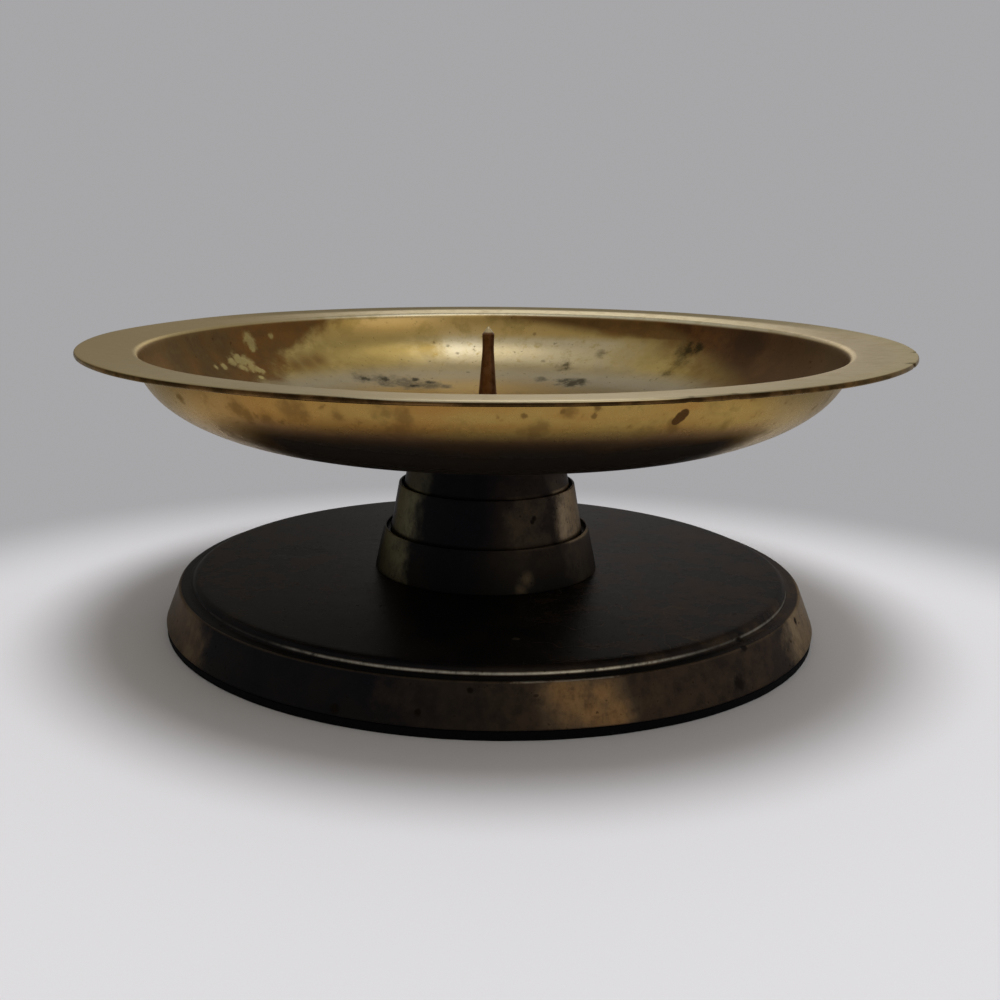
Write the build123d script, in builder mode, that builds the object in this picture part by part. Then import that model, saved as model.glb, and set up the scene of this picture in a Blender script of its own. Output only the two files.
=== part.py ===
from build123d import *
from math import cos, hypot, radians, sin
import os

# A pricket candle stand: a spun brass dish with a spike in its middle, on a short stem of stacked collars
# and a wide hollow foot. Millimetres, +Z up, origin in the middle of the underside, on the table.

# Dish
DISH_RADIUS = 100.0
DISH_SHEET = 1.2
DISH_EDGE_ROUND = 0.35
FLANGE_WIDTH = 13.5
FLANGE_SLOPE = 4.0  # degrees, rising outwards
FLANGE_BEND = 0.8  # radius of the bend under the flange
FLOOR_SWEEP = 50.0  # radii of the three arcs that take the flat floor up into the side
SIDE_SWEEP = 33.0
WALL_SWEEP = 19.5
FLOOR_SWEEP_END = 27.4  # slope in degrees where each arc ends
SIDE_SWEEP_END = 40.0
WALL_SWEEP_END = 76.0

# Pricket
SPIKE_RADIUS = 1.4
SPIKE_HEIGHT = 24.4  # from the dish's floor to the point
SPIKE_STRAIGHT = 5.2  # length of the cylindrical stretch under the point
POINT_HEIGHT = 2.2
POINT_RADIUS = 0.25  # of the blunt end of the point
SEAT_WIDTH = 3.2  # how far the disc under the spike overlaps the dish's hole
SEAT_HEIGHT = 1.0
SEAT_LEDGE = 3.5  # from the seat's edge to the foot of the tapered shaft
SEAT_ROUND = 0.3

# Stem
LOWER_FOOT_RADIUS = 28.5
LOWER_TOP_RADIUS = 26.15
LOWER_HEIGHT = 10.6
MIDDLE_TOP_RADIUS = 22.3
MIDDLE_HEIGHT = 12.7
TOP_TOP_RADIUS = 18.2
TOP_HEIGHT = 15.2
LIP_WIDTH = 0.6
LIP_HEIGHT = 1.5  # depth of the recess that the next collar stands in
LOWER_GAP = 0.9  # between the lower lip and the middle collar that stands inside it
UPPER_GAP = 0.45  # between the upper lip and the top collar
COLLAR_ROUND = 0.25

# Foot
FOOT_RADIUS = 81.9
WALL_FLARE = 3.6  # how far the side wall spreads on its way down
LEDGE_WIDTH = 3.2
LEDGE_ROUND = 0.7
DISC_ROUND = 1.9  # rounded step from the raised disc down to the ledge
BASE_SHEET = 1.2
BOARD_THICKNESS = 2.0
BOARD_GAP = 0.3  # all round the board, filled by its glue
PAD_THICKNESS = 2.1
PAD_INSET = 0.3
PAD_ROUND = 0.4

# Fasteners: one 6 mm thread takes the pricket's stub from above and the bolt from below
THREAD_RADIUS = 3.0
THREAD_CLEARANCE = 0.05  # between the threads, which are plain cylinders here
THREAD_CHAMFER = 0.7
BOLT_CLEARANCE = 0.3
BOLT_GRIP = 5.3  # length of bolt inside the top collar
STUB_GAP = 2.1  # between the bolt's end and the end of the pricket's stub
BOLT_FLATS = 10.0  # across the flats of the head
BOLT_HEAD = 4.0
BOLT_HEAD_CHAMFER = 0.5
HEAD_ROOM = 0.65  # between the bolt's head and the board, so it sets the foot's height too
TIE_WASHER_RADIUS = 9.0
TIE_WASHER_THICKNESS = 1.6
SPRING_WASHER_RADIUS = 5.9
SPRING_WASHER_THICKNESS = 1.6
SPRING_WASHER_SLIT = 1.0
SPRING_WASHER_SLANT = 20.0  # degrees that the slit leans from upright

# Heights above the table, from the pad up
board_z = PAD_THICKNESS
head_z = board_z + BOARD_THICKNESS + HEAD_ROOM
spring_washer_z = head_z + BOLT_HEAD
tie_washer_z = spring_washer_z + SPRING_WASHER_THICKNESS
ceiling_z = tie_washer_z + TIE_WASHER_THICKNESS
disc_z = ceiling_z + BASE_SHEET
ledge_z = disc_z - DISC_ROUND
middle_seat_z = disc_z + LOWER_HEIGHT - LIP_HEIGHT
top_seat_z = middle_seat_z + MIDDLE_HEIGHT - LIP_HEIGHT
dish_z = top_seat_z + TOP_HEIGHT
floor_z = dish_z + DISH_SHEET
bolt_end_z = top_seat_z + BOLT_GRIP
stub_end_z = bolt_end_z + STUB_GAP

thread_hole_radius = THREAD_RADIUS + THREAD_CLEARANCE
bolt_hole_radius = THREAD_RADIUS + BOLT_CLEARANCE

os.makedirs("parts", exist_ok=True)


def export(piece, name):
    piece.part.label = name
    export_step(piece.part, f"parts/{name}.step")


# Dish: the underside's line is thickened upwards into the sheet and turned about the axis
sweeps = [
    (FLOOR_SWEEP, 0, FLOOR_SWEEP_END),
    (SIDE_SWEEP, FLOOR_SWEEP_END, SIDE_SWEEP_END),
    (WALL_SWEEP, SIDE_SWEEP_END, WALL_SWEEP_END),
]
sweeps_width = sum(radius * (sin(radians(end)) - sin(radians(start))) for radius, start, end in sweeps)
floor_radius = DISH_RADIUS - FLANGE_WIDTH - sweeps_width

with BuildPart() as dish:
    with BuildSketch(Plane.XZ):
        with BuildLine():
            line = Line((bolt_hole_radius, dish_z), (floor_radius, dish_z))
            for radius, start, end in sweeps:
                line = JernArc(line @ 1, line % 1, radius, end - start)
            line = JernArc(line @ 1, line % 1, FLANGE_BEND, FLANGE_SLOPE - WALL_SWEEP_END)
            flange_width = DISH_RADIUS - (line @ 1).X
            PolarLine(line @ 1, flange_width / cos(radians(FLANGE_SLOPE)), FLANGE_SLOPE)
            offset(amount=DISH_SHEET, side=Side.LEFT)
        make_face()
    revolve(axis=Axis.Z)
    rim_edges = dish.edges().filter_by(GeomType.CIRCLE).sort_by(SortBy.RADIUS)[-2:]
    fillet(rim_edges, DISH_EDGE_ROUND)
export(dish, "dish")


# Pricket: a turned spike on a seat that clamps the dish, with a threaded stub that goes into the stem
seat_radius = bolt_hole_radius + SEAT_WIDTH
shaft_foot_radius = seat_radius - SEAT_LEDGE
seat_top_z = floor_z + SEAT_HEIGHT
point_z = floor_z + SPIKE_HEIGHT
straight_top_z = point_z - POINT_HEIGHT
straight_foot_z = straight_top_z - SPIKE_STRAIGHT

with BuildPart() as pricket:
    with BuildSketch(Plane.XZ):
        with BuildLine():
            Polyline(
                (shaft_foot_radius, seat_top_z),
                (seat_radius, seat_top_z),
                (seat_radius, floor_z),
                (THREAD_RADIUS, floor_z),
                (THREAD_RADIUS, stub_end_z),
                (0, stub_end_z),
                (0, point_z),
                (POINT_RADIUS, point_z),
                (SPIKE_RADIUS, straight_top_z),
                (SPIKE_RADIUS, straight_foot_z),
                close=True,
            )
        make_face()
    revolve(axis=Axis.Z)
    circles = pricket.edges().filter_by(GeomType.CIRCLE)
    chamfer(circles.sort_by(Axis.Z)[0], THREAD_CHAMFER)
    fillet(circles.sort_by(SortBy.RADIUS)[-2:], SEAT_ROUND)
export(pricket, "pricket")


# Stem: each collar tapers upwards, and the two lower ones hold the next one's foot inside a thin lip
lower_recess_radius = LOWER_TOP_RADIUS - LIP_WIDTH
middle_recess_radius = MIDDLE_TOP_RADIUS - LIP_WIDTH
middle_foot_radius = lower_recess_radius - LOWER_GAP
top_foot_radius = middle_recess_radius - UPPER_GAP

lipped_collars = {
    "stem_lower_collar": (disc_z, LOWER_HEIGHT, LOWER_FOOT_RADIUS, LOWER_TOP_RADIUS, lower_recess_radius),
    "stem_middle_collar": (middle_seat_z, MIDDLE_HEIGHT, middle_foot_radius, MIDDLE_TOP_RADIUS, middle_recess_radius),
}
for name, (seat_z, height, foot_radius, top_radius, recess_radius) in lipped_collars.items():
    lip_z = seat_z + height
    recess_z = lip_z - LIP_HEIGHT
    with BuildPart() as collar:
        with BuildSketch(Plane.XZ):
            with BuildLine():
                Polyline(
                    (0, seat_z),
                    (foot_radius, seat_z),
                    (top_radius, lip_z),
                    (recess_radius, lip_z),
                    (recess_radius, recess_z),
                    (0, recess_z),
                    close=True,
                )
            make_face()
        revolve(axis=Axis.Z)
        circles = collar.edges().filter_by(GeomType.CIRCLE).sort_by(Axis.Z)
        fillet([circles[0]] + circles[-2:], COLLAR_ROUND)
        Hole(bolt_hole_radius)
    export(collar, name)

with BuildPart() as stem_top_collar:
    with BuildSketch(Plane.XZ):
        with BuildLine():
            Polyline(
                (0, top_seat_z),
                (top_foot_radius, top_seat_z),
                (TOP_TOP_RADIUS, dish_z),
                (0, dish_z),
                close=True,
            )
        make_face()
    revolve(axis=Axis.Z)
    fillet(stem_top_collar.edges().filter_by(GeomType.CIRCLE), COLLAR_ROUND)
    Hole(thread_hole_radius)
export(stem_top_collar, "stem_top_collar")


# Foot: a spun shell, open below, with a stepped disc on a flared wall
ledge_radius = FOOT_RADIUS - WALL_FLARE
disc_radius = ledge_radius - LEDGE_WIDTH

with BuildPart() as base:
    with BuildSketch(Plane.XZ):
        with BuildLine():
            step = JernArc((disc_radius, ledge_z), (0, 1), DISC_ROUND, 90)
            Polyline(
                step @ 1,
                (0, disc_z),
                (0, board_z),
                (FOOT_RADIUS, board_z),
                (ledge_radius, ledge_z),
                step @ 0,
            )
        make_face()
    revolve(axis=Axis.Z)
    ledge_edges = base.edges().filter_by(GeomType.CIRCLE).group_by(Axis.Z)[1]
    fillet(ledge_edges.sort_by(SortBy.RADIUS)[-1], LEDGE_ROUND)
    offset(amount=-BASE_SHEET, openings=base.faces().sort_by(Axis.Z)[0])
    Hole(bolt_hole_radius)
export(base, "base")


# Backing board: closes the hollow foot, flush with the wall's lower edge
wall_spread = WALL_FLARE / (ledge_z - board_z)
wall_section = BASE_SHEET * hypot(1, wall_spread)
board_radius = FOOT_RADIUS - wall_section - BOARD_THICKNESS * wall_spread - BOARD_GAP

with BuildPart() as backing_board:
    with BuildSketch(Plane.XY.offset(board_z)):
        Circle(board_radius)
    extrude(amount=BOARD_THICKNESS)
export(backing_board, "backing_board")


# Felt pad: glued under the board and the wall's edge, and the only thing that touches the table
with BuildPart() as felt_pad:
    with BuildSketch():
        Circle(FOOT_RADIUS - PAD_INSET)
    extrude(amount=PAD_THICKNESS)
    fillet(felt_pad.edges().sort_by(Axis.Z)[0], PAD_ROUND)
export(felt_pad, "felt_pad")


# Tie bolt: from below, through the foot and the lower collars into the top one
with BuildPart() as tie_bolt:
    with BuildSketch(Plane.XY.offset(head_z)):
        RegularPolygon(BOLT_FLATS / 2, 6, major_radius=False)
    extrude(amount=BOLT_HEAD)
    chamfer(tie_bolt.faces().sort_by(Axis.Z)[0].edges(), BOLT_HEAD_CHAMFER)
    with BuildSketch(Plane.XY.offset(spring_washer_z)):
        Circle(THREAD_RADIUS)
    extrude(amount=bolt_end_z - spring_washer_z)
    chamfer(tie_bolt.edges().sort_by(Axis.Z)[-1], THREAD_CHAMFER)
export(tie_bolt, "tie_bolt")


# Tie washer: wide, to spread the bolt's pull over the thin sheet of the foot
with BuildPart() as tie_washer:
    with BuildSketch(Plane.XY.offset(tie_washer_z)):
        Circle(TIE_WASHER_RADIUS)
    extrude(amount=TIE_WASHER_THICKNESS)
    Hole(bolt_hole_radius)
export(tie_washer, "tie_washer")


# Spring washer: pressed flat by the bolt, with a slanted slit through one side
with BuildPart() as spring_washer:
    with BuildSketch(Plane.XY.offset(spring_washer_z)):
        Circle(SPRING_WASHER_RADIUS)
        Circle(bolt_hole_radius, mode=Mode.SUBTRACT)
    extrude(amount=SPRING_WASHER_THICKNESS)
    slit_middle_z = spring_washer_z + SPRING_WASHER_THICKNESS / 2
    with BuildSketch(Plane.YZ):
        with Locations(Location((0, slit_middle_z), SPRING_WASHER_SLANT)):
            Rectangle(SPRING_WASHER_SLIT, SPRING_WASHER_RADIUS)
    extrude(amount=2 * SPRING_WASHER_RADIUS, mode=Mode.SUBTRACT)
export(spring_washer, "spring_washer")
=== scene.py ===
from math import cos, hypot, pi, radians, sin, tan

import bpy
from mathutils import Matrix, Vector, noise


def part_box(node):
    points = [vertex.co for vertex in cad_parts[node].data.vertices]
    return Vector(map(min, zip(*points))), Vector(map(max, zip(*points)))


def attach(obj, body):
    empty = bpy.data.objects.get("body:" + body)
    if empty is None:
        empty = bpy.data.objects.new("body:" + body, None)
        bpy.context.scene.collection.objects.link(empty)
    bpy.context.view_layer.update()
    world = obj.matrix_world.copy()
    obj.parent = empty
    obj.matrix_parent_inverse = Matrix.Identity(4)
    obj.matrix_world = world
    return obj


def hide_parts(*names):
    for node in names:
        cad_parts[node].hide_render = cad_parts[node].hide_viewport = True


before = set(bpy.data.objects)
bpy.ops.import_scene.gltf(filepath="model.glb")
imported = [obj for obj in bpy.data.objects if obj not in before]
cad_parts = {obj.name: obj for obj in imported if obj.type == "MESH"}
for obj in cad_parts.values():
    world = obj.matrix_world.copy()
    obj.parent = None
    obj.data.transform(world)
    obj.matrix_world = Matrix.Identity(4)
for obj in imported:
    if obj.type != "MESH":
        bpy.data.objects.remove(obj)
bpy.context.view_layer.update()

# A pricket candle stand in aged brass: everything is in metres, and an azimuth is measured about the
# stand's axis from +X towards +Y. The camera stands on the -Y side.

MM = 0.001

# The uneven waves that warp() gives the sheets are drawn from this seed, the same ones in each run
WARP_SEED = 249
noise.seed_set(WARP_SEED)

SAME_POINT = 0.01 * MM  # points of an outline that are closer than this count as one

# Dish
DISH_SHEET = 1.2 * MM
DISH_HOLE_RADIUS = 3.3 * MM
DISH_EDGE_ROUND = 0.45 * MM
FLANGE_WIDTH = 13.5 * MM
FLANGE_SLOPE = radians(4)
FLANGE_BEND = 0.8 * MM

# The three arcs of the dish's underside, from its flat middle out, and their slopes at each end
SWEEP_RADII = (50 * MM, 33 * MM, 19.5 * MM)
SWEEP_SLOPES = (0, radians(27.4), radians(40), radians(76))

# Pricket
SHOULDER_RADIUS = 1.52 * MM
WAIST_RADIUS = 1.42 * MM
WAIST_DROP = 5.6 * MM  # from the point down to the waist
WAIST_ROUND = 20 * MM
SHOULDER_ROUND = 0.1 * MM
POINT_HEIGHT = 1.9 * MM
POINT_RADIUS = 0.25 * MM
SEAT_HEIGHT = 1.0 * MM
SEAT_LEDGE = 3.75 * MM
SEAT_ROUND = 0.3 * MM
STUB_RADIUS = 3.0 * MM
STUB_CHAMFER = 0.7 * MM

# Stem
COLLAR_BORE = 3.3 * MM
COLLAR_ROUND = 0.22 * MM
LIP_WIDTH = 0.6 * MM
LIP_HEIGHT = 1.5 * MM
LOWER_TOP_RADIUS = 26.15 * MM
MIDDLE_TOP_RADIUS = 22.3 * MM
TOP_TOP_RADIUS = 18.2 * MM

# Foot
BASE_SHEET = 1.2 * MM
WALL_FLARE = 3.6 * MM
LEDGE_WIDTH = 3.2 * MM
LEDGE_ROUND = 0.7 * MM
DISC_ROUND = 1.9 * MM
BASE_EDGE_ROUND = 0.3 * MM
PAD_ROUND = 0.4 * MM

# Camera, fitted to the circles in the photograph, a square of 1000 pixels. The angles are in radians
PHOTO_SIZE = 1000
FOCAL_PIXELS = 1247.5
CENTRE_X_PIXELS = 415.3
CENTRE_Y_PIXELS = 499.0
CAMERA_DISTANCE = 312.05 * MM
CAMERA_HEIGHT = 104.01 * MM
CAMERA_YAW = 0.0583
CAMERA_PITCH = 0.2327
CAMERA_NEAREST = 10 * MM
SENSOR_WIDTH = 36.0


# Shapes: every visible piece is turned from an outline of (radius, height) points


def arc(centre, radius, start, end, steps=10):
    """Points of an arc in the section plane. Angles are in radians, anticlockwise from +R."""
    turn = (end - start) / steps
    return [
        (centre[0] + radius * cos(start + turn * k), centre[1] + radius * sin(start + turn * k))
        for k in range(steps + 1)
    ]


def rounded(corners, steps=6):
    """Turns (radius, height, round) corners of a closed outline into points, each corner cut by its arc."""
    outline = []
    count = len(corners)
    for k, (r, z, size) in enumerate(corners):
        if size == 0:
            outline.append((r, z))
            continue
        here = Vector((r, z))
        to_last = (Vector(corners[k - 1][:2]) - here).normalized()
        to_next = (Vector(corners[(k + 1) % count][:2]) - here).normalized()
        half = to_last.angle(to_next) / 2
        centre = here + (to_last + to_next).normalized() * size / sin(half)
        first = here + to_last * size / tan(half) - centre
        last = here + to_next * size / tan(half) - centre
        turn = first.angle_signed(last)
        for step in range(steps + 1):
            outline.append(tuple(centre + Matrix.Rotation(-turn * step / steps, 2) @ first))
    return outline


def evened(outline, longest):
    """Drops points that lie on the one before, and divides the long runs into even pieces."""
    even = []
    for (r0, z0), (r1, z1) in zip(outline, outline[1:] + outline[:1]):
        length = hypot(r1 - r0, z1 - z0)
        if length < SAME_POINT:
            continue
        pieces = max(1, round(length / longest))
        even += [(r0 + (r1 - r0) * k / pieces, z0 + (z1 - z0) * k / pieces) for k in range(pieces)]
    return even


def lathe(name, outline, longest, segments, materials):
    """Turns a closed outline about the axis into a watertight mesh object."""
    vertices = []
    rings = []
    for r, z in evened(outline, longest):
        if r == 0:
            rings.append([len(vertices)] * segments)
            vertices.append((0, 0, z))
            continue
        rings.append(range(len(vertices), len(vertices) + segments))
        for k in range(segments):
            angle = 2 * pi * k / segments
            vertices.append((r * cos(angle), r * sin(angle), z))
    faces = []
    for low, high in zip(rings, rings[1:] + rings[:1]):
        for k in range(segments):
            after = (k + 1) % segments
            corners = list(dict.fromkeys([low[k], low[after], high[after], high[k]]))
            if len(corners) > 2:
                faces.append(corners)
    mesh = bpy.data.meshes.new(name)
    mesh.from_pydata(vertices, [], faces)
    mesh.validate()
    mesh.shade_smooth()
    for material in materials:
        mesh.materials.append(material)
    piece = bpy.data.objects.new(name, mesh)
    bpy.context.scene.collection.objects.link(piece)
    return piece


def warp(piece, size, reach, offset):
    """Moves the whole sheet or block in long uneven waves, as handling does. reach is a wave's length,
    and offset gives each piece waves of its own."""
    for vertex in piece.data.vertices:
        vertex.co += noise.noise_vector(vertex.co / reach + Vector((offset, 0, 0))) * size


def placed(outline, marks, side=0):
    """Gives each mark its (centre, radius) in metres. A mark is its azimuth in degrees, its height above
    the outline's foot in millimetres and its radius in millimetres. Side 0 is the outermost surface at
    that height, and side 1 the next one in."""
    foot = min(z for r, z in outline)
    centres = []
    for azimuth, height, radius in marks:
        level = foot + height * MM
        crossings = []
        for (r0, z0), (r1, z1) in zip(outline, outline[1:] + outline[:1]):
            if min(z0, z1) <= level < max(z0, z1):
                crossings.append(r0 + (r1 - r0) * (level - z0) / (z1 - z0))
        r = sorted(crossings, reverse=True)[side]
        centre = Vector((r * cos(radians(azimuth)), r * sin(radians(azimuth)), level))
        centres.append((centre, radius * MM))
    return centres


def swell(piece, spots, height):
    """Raises the surface at each (centre, radius) spot, or sinks it where height is negative."""
    for vertex in piece.data.vertices:
        start = vertex.co.copy()
        for centre, radius in spots:
            apart = (start - centre).length / radius
            if apart < 1:
                vertex.co += vertex.normal * height * (1 - apart * apart) ** 2


def dish_outline():
    """The sheet's section: the underside from the hole out to the rim, then the upper side back."""
    low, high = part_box("dish")
    under = [(DISH_HOLE_RADIUS, low.z)]
    upper = [(DISH_HOLE_RADIUS, low.z + DISH_SHEET)]
    sweeps = list(zip(SWEEP_RADII, SWEEP_SLOPES, SWEEP_SLOPES[1:]))
    width = sum(radius * (sin(end) - sin(start)) for radius, start, end in sweeps)
    r = high.x - FLANGE_WIDTH - width
    z = low.z
    for radius, start, end in sweeps:
        centre = (r - radius * sin(start), z + radius * cos(start))
        under += arc(centre, radius, start - pi / 2, end - pi / 2)
        upper += arc(centre, radius - DISH_SHEET, start - pi / 2, end - pi / 2)
        r, z = under[-1]
    slope = SWEEP_SLOPES[-1]
    centre = (r + FLANGE_BEND * sin(slope), z - FLANGE_BEND * cos(slope))
    under += arc(centre, FLANGE_BEND, slope + pi / 2, FLANGE_SLOPE + pi / 2)
    upper += arc(centre, FLANGE_BEND + DISH_SHEET, slope + pi / 2, FLANGE_SLOPE + pi / 2)
    r, z = under[-1]
    rim_low = Vector((high.x, z + (high.x - r) * tan(FLANGE_SLOPE)))
    rim_high = rim_low + Vector((-sin(FLANGE_SLOPE), cos(FLANGE_SLOPE))) * DISH_SHEET
    corners = [(*upper[-1], 0), (*under[-1], 0), (*rim_low, DISH_EDGE_ROUND), (*rim_high, DISH_EDGE_ROUND)]
    rim = rounded(corners)[2:]
    return under + rim + upper[::-1]


def pricket_outline():
    low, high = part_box("pricket")
    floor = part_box("dish")[0].z + DISH_SHEET
    seat = floor + SEAT_HEIGHT
    return rounded([
        (0, low.z, 0),
        (STUB_RADIUS - STUB_CHAMFER, low.z, 0),
        (STUB_RADIUS, low.z + STUB_CHAMFER, 0),
        (STUB_RADIUS, floor, 0),
        (high.x, floor, 0),
        (high.x, seat, SEAT_ROUND),
        (high.x - SEAT_LEDGE, seat, SEAT_ROUND),
        (WAIST_RADIUS, high.z - WAIST_DROP, WAIST_ROUND),
        (SHOULDER_RADIUS, high.z - POINT_HEIGHT, SHOULDER_ROUND),
        (POINT_RADIUS / 2, high.z, POINT_RADIUS / 4),
        (0, high.z, 0),
    ])


def collar_outline(node, top_radius, lipped):
    low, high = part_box(node)
    corners = [(COLLAR_BORE, low.z, 0), (high.x, low.z, COLLAR_ROUND), (top_radius, high.z, COLLAR_ROUND)]
    recess = high.z
    if lipped:
        recess -= LIP_HEIGHT
        corners += [(top_radius - LIP_WIDTH, high.z, COLLAR_ROUND), (top_radius - LIP_WIDTH, recess, 0)]
    return rounded(corners + [(COLLAR_BORE, recess, 0)])


def base_outline():
    low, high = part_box("base")
    ledge = high.z - DISC_ROUND
    ledge_radius = high.x - WALL_FLARE
    disc_radius = ledge_radius - LEDGE_WIDTH
    return rounded([
        (COLLAR_BORE, high.z, 0),
        (COLLAR_BORE, high.z - BASE_SHEET, 0),
        (disc_radius - BASE_SHEET, high.z - BASE_SHEET, 0),
        (disc_radius - BASE_SHEET, ledge - BASE_SHEET, 0),
        (ledge_radius - BASE_SHEET, ledge - BASE_SHEET, 0),
        (high.x - BASE_SHEET, low.z, 0),
        (high.x, low.z, BASE_EDGE_ROUND),
        (ledge_radius, ledge, LEDGE_ROUND),
        (disc_radius, ledge, 0),
        (disc_radius, high.z, DISC_ROUND),
    ])


def pad_outline():
    low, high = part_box("felt_pad")
    return rounded([(0, low.z, 0), (high.x, low.z, PAD_ROUND), (high.x, high.z, PAD_ROUND), (0, high.z, 0)])


# Materials


class Nodes:
    """Adds nodes to one tree. Inputs are sockets or plain values."""

    def __init__(self, tree):
        self.tree = tree

    def add(self, kind, inputs, output=0, **settings):
        node = self.tree.nodes.new("ShaderNode" + kind)
        for name, value in settings.items():
            setattr(node, name, value)
        for name, value in inputs.items():
            self.feed(node.inputs[name], value)
        return node.outputs[output]

    def feed(self, socket, value):
        if isinstance(value, bpy.types.NodeSocket):
            self.tree.links.new(value, socket)
        else:
            socket.default_value = value

    def split(self, vector):
        node = self.tree.nodes.new("ShaderNodeSeparateXYZ")
        self.tree.links.new(vector, node.inputs[0])
        return node.outputs

    def math(self, operation, *values):
        return self.add("Math", dict(enumerate(values)), operation=operation)

    def product(self, *values):
        result = values[0]
        for value in values[1:]:
            result = self.math("MULTIPLY", result, value)
        return result

    def total(self, *values):
        result = values[0]
        for value in values[1:]:
            result = self.math("ADD", result, value)
        return result

    def most(self, *values):
        result = values[0]
        for value in values[1:]:
            result = self.math("MAXIMUM", result, value)
        return result

    def less(self, share):
        """What is left of 1 once the share is taken."""
        return self.math("SUBTRACT", 1, share)

    def ease(self, value, low, high):
        """0 where value is at low, 1 where it is at high, and smooth between."""
        inputs = {"Value": value, "From Min": low, "From Max": high}
        return self.add("MapRange", inputs, interpolation_type="SMOOTHSTEP")

    def span(self, value, low, high):
        """Takes a share from 0 to 1 to the range from low to high."""
        return self.add("MapRange", {"Value": value, "To Min": low, "To Max": high})

    def mix(self, share, first, second):
        first, second = (c if isinstance(c, bpy.types.NodeSocket) else (*c, 1) for c in (first, second))
        return self.add("Mix", {0: share, 6: first, 7: second}, 2, data_type="RGBA")


class Graph(Nodes):
    """The nodes of one material. Places are object coordinates."""

    def __init__(self, name):
        self.material = bpy.data.materials.new(name)
        self.material.use_nodes = True
        super().__init__(self.material.node_tree)
        self.shader = self.tree.nodes["Principled BSDF"]
        self.place = self.add("TexCoord", {}, "Object")
        self.x, self.y, self.z = self.split(self.place)
        flat = self.add("VectorMath", {0: self.place, 1: (1, 1, 0)}, operation="MULTIPLY")
        self.radius = self.add("VectorMath", {0: flat}, "Value", operation="LENGTH")

    def noise(self, grain, detail=4, roughness=0.55, place=None):
        """Cloudy noise from 0 to 1. grain is the size of its largest blotches."""
        inputs = {"Scale": 1 / grain, "Detail": detail, "Roughness": roughness}
        return self.add("TexNoise", {"Vector": place or self.place, **inputs})

    def upright(self, grain, detail=4, stretch=0.2):
        """Noise drawn out up and down, as drips and rubbing leave it."""
        place = self.add("VectorMath", {0: self.place, 1: (1, 1, stretch)}, operation="MULTIPLY")
        return self.noise(grain, detail, place=place)

    def streaks(self, across, along, detail=4):
        """Noise drawn out round the axis, as a lathe leaves it."""
        place = self.add("CombineXYZ", {
            0: self.math("DIVIDE", self.radius, across),
            1: self.math("DIVIDE", self.x, along),
            2: self.math("DIVIDE", self.y, along),
        })
        return self.noise(1, detail, place=place)

    def towards(self, azimuth):
        """The cosine of the angle between this place's azimuth and the one named."""
        away = self.total(self.product(self.x, cos(azimuth)), self.product(self.y, sin(azimuth)))
        return self.math("DIVIDE", away, self.radius)

    def sector(self, limits, edge=0):
        """1 inside a sector about the axis and 0 outside it. Its limits are the azimuth of its middle,
        its half width and how far its border fades to either side, in degrees. edge moves the border
        about."""
        azimuth, width, softness = (radians(angle) for angle in limits)
        cosine = self.total(self.towards(azimuth), edge)
        return self.ease(cosine, cos(width + softness), cos(width - softness))

    def band(self, value, middle, width):
        """1 at middle, fading to 0 at width from it."""
        return self.ease(self.math("ABSOLUTE", self.math("SUBTRACT", value, middle)), width, 0)

    def spots(self, places, ragged, softness=0.5, raggedness=2.0):
        """1 inside each (centre, radius) spot, with ragged edges."""
        edge = self.product(self.math("SUBTRACT", ragged, 0.5), raggedness)
        marks = []
        for centre, radius in places:
            apart = self.add("VectorMath", {0: self.place, 1: centre}, "Value", operation="DISTANCE")
            share = self.total(self.math("DIVIDE", apart, radius), edge)
            marks.append(self.ease(share, 1 + softness, 1 - softness))
        return self.most(*marks)

    def finish(self, colour, metallic, roughness, relief):
        """relief is the surface's height in metres."""
        self.feed(self.shader.inputs["Base Color"], colour)
        self.feed(self.shader.inputs["Metallic"], metallic)
        self.feed(self.shader.inputs["Roughness"], roughness)
        bump = self.add("Bump", {"Height": relief, "Distance": 1.0})
        self.feed(self.shader.inputs["Normal"], bump)
        return self.material


# Sizes of the blotches that the materials share, largest first
CLOUD = 24 * MM
BLOTCH = 8 * MM
MOTTLE = 2.6 * MM
FINE = 0.8 * MM

# Depths that the materials share
DENT = 0.2 * MM
SCRATCH = 0.012 * MM
CRUST = 0.03 * MM

# Lines that the lathe left on the dish: their width, and their length on either side of the sheet
TURNING_WIDTH = 1.1 * MM
INSIDE_TURNING = 45 * MM
OUTSIDE_TURNING = 40 * MM


class Metal(Graph):
    """A graph that starts with the four sizes of blotches."""

    def __init__(self, name):
        super().__init__(name)
        self.cloud = self.noise(CLOUD, 5, 0.6)
        self.blotch = self.noise(BLOTCH, 5, 0.65)
        self.mottle = self.noise(MOTTLE, 4, 0.65)
        self.fine = self.noise(FINE, 3, 0.7)


# Marks on the dish, as placed() takes them
FLOOR_STAINS = (
    (123, 4.5, 2.4), (118, 3.7, 3.4), (112, 2.8, 4.0), (106, 2.2, 2.8), (76, 3.6, 1.5), (71.5, 7.0, 2.2),
    (64.5, 10.6, 1.5), (45, 13.0, 2.6), (44.8, 10.3, 2.2), (102, 2.0, 2.0), (45.5, 7.1, 1.2),
)
INK_STAINS = (
    (67.1, 3.1, 2.4), (69.5, 3.3, 2.0), (65.2, 3.5, 2.0), (44.5, 13.3, 2.0), (42.8, 14.3, 1.7),
    (122.8, 4.5, 1.7), (117.6, 3.9, 2.0), (111.2, 2.4, 1.4), (109.4, 3.5, 1.2), (105.6, 2.9, 1.3),
    (71.5, 7.1, 1.6),
)
DARK_PATCHES = ((161, 16.0, 8.0), (170, 16.5, 8.0), (154, 15.5, 6.0), (163, 11.0, 6.0), (30, 16.0, 6.0))
BROWN_PATCHES = ((133.6, 9.2, 3.4), (130.6, 9.7, 2.8), (137.2, 8.8, 3.0))
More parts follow.
